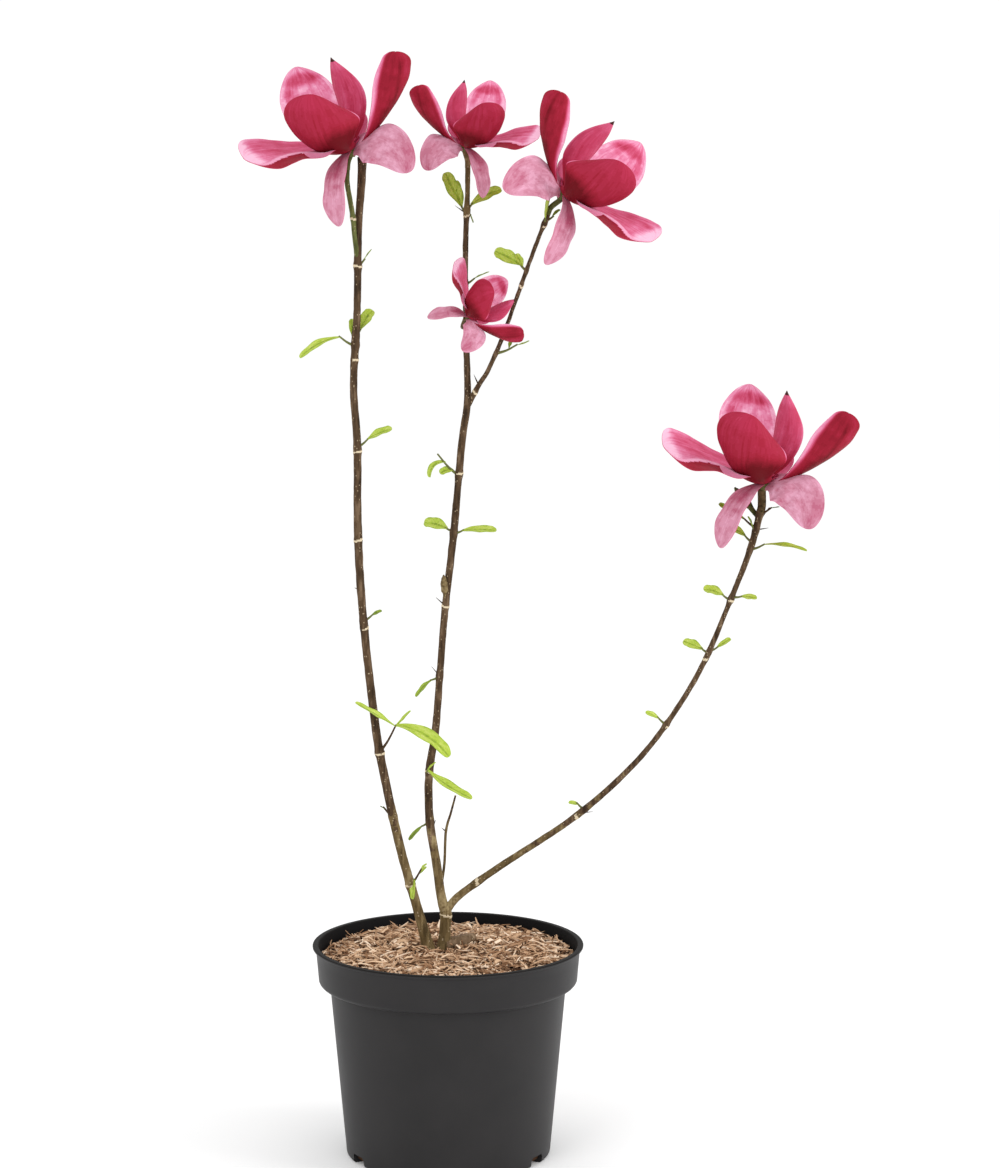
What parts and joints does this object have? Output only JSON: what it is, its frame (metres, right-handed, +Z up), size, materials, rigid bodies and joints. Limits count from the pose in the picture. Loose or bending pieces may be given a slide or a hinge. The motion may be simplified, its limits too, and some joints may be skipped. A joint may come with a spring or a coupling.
{
  "type": "potted magnolia tree",
  "caption": "Young magnolia with slender bare stems, small new leaves and large open pink and crimson blooms, growing in a round black nursery pot topped with wood chips.",
  "frame": {"origin": "centre of the pot's flat underside", "axes": "+Z up along the pot's axis, -Y towards the front, +X to the right as seen from the front"},
  "size_m": [0.4969, 0.23, 0.9311],
  "materials": {
    "pot": "satin",
    "mulch": "matte",
    "bark": "matte",
    "green_bark": "satin",
    "dead_wood": "matte",
    "tepal": "satin",
    "leaf": "satin",
    "bud": "matte"
  },
  "bodies": {
    "root": {"bloom_left": "tepal", "bloom_middle": "tepal", "bloom_right": "tepal", "bloom_side": "tepal", "bloom_small": "tepal", "bud_middle": "bud", "bud_right": "bud", "dead_twig": "dead_wood", "green_shoot": "green_bark", "leaf_left_1": "leaf", "leaf_left_2": "leaf", "leaf_left_3": "leaf", "leaf_left_4": "leaf", "leaf_left_5": "leaf", "leaf_left_6": "leaf", "leaf_left_7": "leaf", "leaf_left_8": "leaf", "leaf_left_9": "leaf", "leaf_middle_1": "leaf", "leaf_middle_10": "leaf", "leaf_middle_2": "leaf", "leaf_middle_3": "leaf", "leaf_middle_4": "leaf", "leaf_middle_5": "leaf", "leaf_middle_6": "leaf", "leaf_middle_7": "leaf", "leaf_middle_8": "leaf", "leaf_middle_9": "leaf", "leaf_right_1": "leaf", "leaf_right_10": "leaf", "leaf_right_11": "leaf", "leaf_right_2": "leaf", "leaf_right_3": "leaf", "leaf_right_4": "leaf", "leaf_right_5": "leaf", "leaf_right_6": "leaf", "leaf_right_7": "leaf", "leaf_right_8": "leaf", "leaf_right_9": "leaf", "leaf_side_1": "leaf", "leaf_side_2": "leaf", "leaf_side_3": "leaf", "leaf_side_4": "leaf", "left_stem": "bark", "middle_stem": "bark", "old_stub": "dead_wood", "pot": "pot", "right_bough": "bark", "root_ball": "mulch", "side_branch": "bark", "trunk": "bark"}
  },
  "joints": []
}
